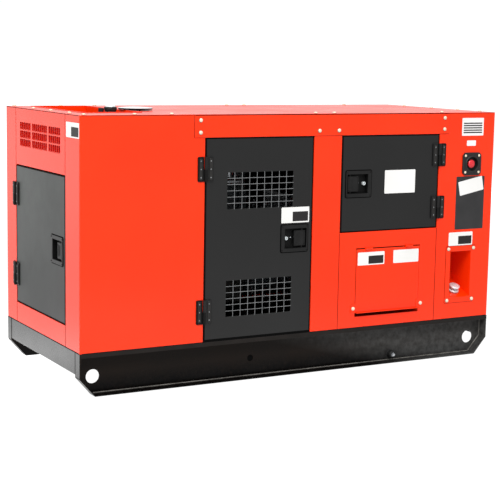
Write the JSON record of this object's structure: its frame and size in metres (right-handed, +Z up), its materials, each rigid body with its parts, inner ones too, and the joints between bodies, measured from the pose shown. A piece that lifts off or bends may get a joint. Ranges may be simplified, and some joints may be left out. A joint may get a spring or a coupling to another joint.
{
  "type": "engine driven welder",
  "caption": "Canopied engine driven welder on a channel skid, with hinged service doors, an output flap over the weld studs, a refuelling pocket and an emergency stop.",
  "frame": {"origin": "on the ground under the middle of the overall box", "axes": "+X right along the front, +Y to the back, +Z up"},
  "size_m": [2.182, 0.9504, 1.207],
  "materials": {
    "canopy_red": "gloss powder coat",
    "door_charcoal": "satin powder coat",
    "skid_black": "satin powder coat",
    "fitting_black": "satin black coat",
    "bolt_cap": "cream cap",
    "lock_chrome": "bright plate",
    "pipe_steel": "plain",
    "shaft_steel": "machined",
    "stud_brass": "machined",
    "moulded_black": "moulded",
    "button_red": "moulded",
    "board_black": "laminate",
    "board_grey": "satin powder coat",
    "engine_iron": "painted casting",
    "radiator_alloy": "black coated core",
    "mount_rubber": "moulded"
  },
  "bodies": {
    "machine": {"front_rail": "skid_black", "rear_rail": "skid_black", "skid_crossmembers": "skid_black", "fuel_tank": "skid_black", "front_left_panel": "canopy_red", "front_right_panel": "canopy_red", "rear_left_panel": "canopy_red", "rear_right_panel": "canopy_red", "top_beams": "canopy_red", "mid_post": "canopy_red", "output_panel": "canopy_red", "left_end_panels": "canopy_red", "right_end_panel": "canopy_red", "roof_panel": "canopy_red", "hot_air_duct": "canopy_red", "rain_cover": "fitting_black", "canopy_bolts": "bolt_cap", "frame_hinge_leaves": "fitting_black", "terminal_board": "board_black", "weld_studs": "stud_brass", "fuel_pocket": "canopy_red", "fuel_neck": "pipe_steel", "estop_housing": "moulded_black", "control_board": "board_grey", "engine_block": "engine_iron", "cylinder_head": "engine_iron", "oil_pan": "fitting_black", "exhaust_muffler": "pipe_steel", "air_cleaner": "moulded_black", "radiator": "radiator_alloy", "fan_belt": "mount_rubber", "welding_generator": "engine_iron", "battery": "moulded_black", "rubber_mounts": "mount_rubber"},
    "engine_door": {"engine_door": "door_charcoal", "engine_door_leaves": "fitting_black", "engine_latch_pan": "fitting_black"},
    "engine_paddle": {"engine_paddle": "fitting_black"},
    "engine_lock": {"engine_lock": "lock_chrome"},
    "control_door": {"control_door": "door_charcoal", "control_door_leaves": "fitting_black", "control_latch_pan": "fitting_black"},
    "control_paddle": {"control_paddle": "fitting_black"},
    "control_lock": {"control_lock": "lock_chrome"},
    "end_door": {"end_door": "door_charcoal", "end_door_leaves": "fitting_black", "end_latch_pan": "fitting_black"},
    "end_paddle": {"end_paddle": "fitting_black"},
    "rear_door": {"rear_door": "door_charcoal", "rear_door_leaves": "fitting_black", "rear_latch_pan": "fitting_black"},
    "rear_paddle": {"rear_paddle": "fitting_black"},
    "output_flap": {"output_flap": "canopy_red"},
    "fuel_cap": {"fuel_cap": "lock_chrome"},
    "estop_button": {"estop_button": "button_red"},
    "current_knob": {"current_knob": "moulded_black"},
    "start_switch": {"start_switch": "pipe_steel"},
    "radiator_cap": {"radiator_cap": "moulded_black"},
    "crank_train": {"crank_train": "shaft_steel"},
    "cooling_fan": {"cooling_fan": "moulded_black"}
  },
  "joints": [
    {"name": "engine_door_hinge", "type": "hinge", "parent": "machine", "child": "engine_door", "pos_m": [-0.49661, -0.4666, 0.64], "axis": [0, 0, -1], "range_deg": [0, 110]},
    {"name": "engine_paddle_pivot", "type": "hinge", "parent": "engine_door", "child": "engine_paddle", "pos_m": [-0.00061, -0.4542, 0.6305], "axis": [0, 0, 1], "range_deg": [0, 35], "stiffness_Nm_per_rad": 2},
    {"name": "engine_lock_turn", "type": "hinge", "parent": "engine_door", "child": "engine_lock", "pos_m": [-0.07911, -0.4412, 0.6305], "axis": [0, 1, 0], "range_deg": [0, 90]},
    {"name": "control_door_hinge", "type": "hinge", "parent": "machine", "child": "control_door", "pos_m": [0.74839, -0.4666, 0.866], "axis": [0, 0, 1], "range_deg": [0, 110]},
    {"name": "control_paddle_pivot", "type": "hinge", "parent": "control_door", "child": "control_paddle", "pos_m": [0.25339, -0.4542, 0.866], "axis": [0, 0, -1], "range_deg": [0, 35], "stiffness_Nm_per_rad": 2},
    {"name": "control_lock_turn", "type": "hinge", "parent": "control_door", "child": "control_lock", "pos_m": [0.33189, -0.4412, 0.866], "axis": [0, 1, 0], "range_deg": [0, 90]},
    {"name": "end_door_hinge", "type": "hinge", "parent": "machine", "child": "end_door", "pos_m": [-1.08401, 0.3248, 0.606], "axis": [0, 0, -1], "range_deg": [0, 110]},
    {"name": "end_paddle_pivot", "type": "hinge", "parent": "end_door", "child": "end_paddle", "pos_m": [-1.07161, -0.2432, 0.598], "axis": [0, 0, 1], "range_deg": [0, 35], "stiffness_Nm_per_rad": 2},
    {"name": "rear_door_hinge", "type": "hinge", "parent": "machine", "child": "rear_door", "pos_m": [-0.49661, 0.4682, 0.64], "axis": [0, 0, 1], "range_deg": [0, 110]},
    {"name": "rear_paddle_pivot", "type": "hinge", "parent": "rear_door", "child": "rear_paddle", "pos_m": [-0.00061, 0.4558, 0.6305], "axis": [0, 0, -1], "range_deg": [0, 35], "stiffness_Nm_per_rad": 2},
    {"name": "output_flap_hinge", "type": "hinge", "parent": "machine", "child": "output_flap", "pos_m": [0.47539, -0.4641, 0.5625], "axis": [-1, 0, 0], "range_deg": [0, 100]},
    {"name": "fuel_cap_turn", "type": "hinge", "parent": "machine", "child": "fuel_cap", "pos_m": [0.90139, -0.40895, 0.31637], "axis": [0, -0.4067, 0.9135], "range_deg": [0, 90]},
    {"name": "estop_press", "type": "slide", "parent": "machine", "child": "estop_button", "axis": [0, 1, 0], "range_m": [0, 0.006], "stiffness_N_per_m": 800},
    {"name": "current_knob_turn", "type": "hinge", "parent": "machine", "child": "current_knob", "pos_m": [0.35239, -0.3632, 0.814], "axis": [0, 1, 0], "range_deg": [0, 270]},
    {"name": "start_switch_turn", "type": "hinge", "parent": "machine", "child": "start_switch", "pos_m": [0.50239, -0.3632, 0.814], "axis": [0, 1, 0], "range_deg": [0, 60]},
    {"name": "radiator_cap_turn", "type": "hinge", "parent": "machine", "child": "radiator_cap", "pos_m": [-0.77061, -0.0592, 1.196], "axis": [0, 0, 1], "range_deg": [0, 90]},
    {"name": "crank_spin", "type": "hinge", "parent": "machine", "child": "crank_train", "pos_m": [-0.07661, 0.0008, 0.52], "axis": [1, 0, 0], "continuous": true},
    {"name": "fan_spin", "type": "hinge", "parent": "machine", "child": "cooling_fan", "pos_m": [-0.63661, 0.0008, 0.73], "axis": [1, 0, 0], "continuous": true}
  ],
  "couplings": [
    {"joint": "fan_spin", "follows": "crank_spin", "ratio": 1.2591}
  ]
}
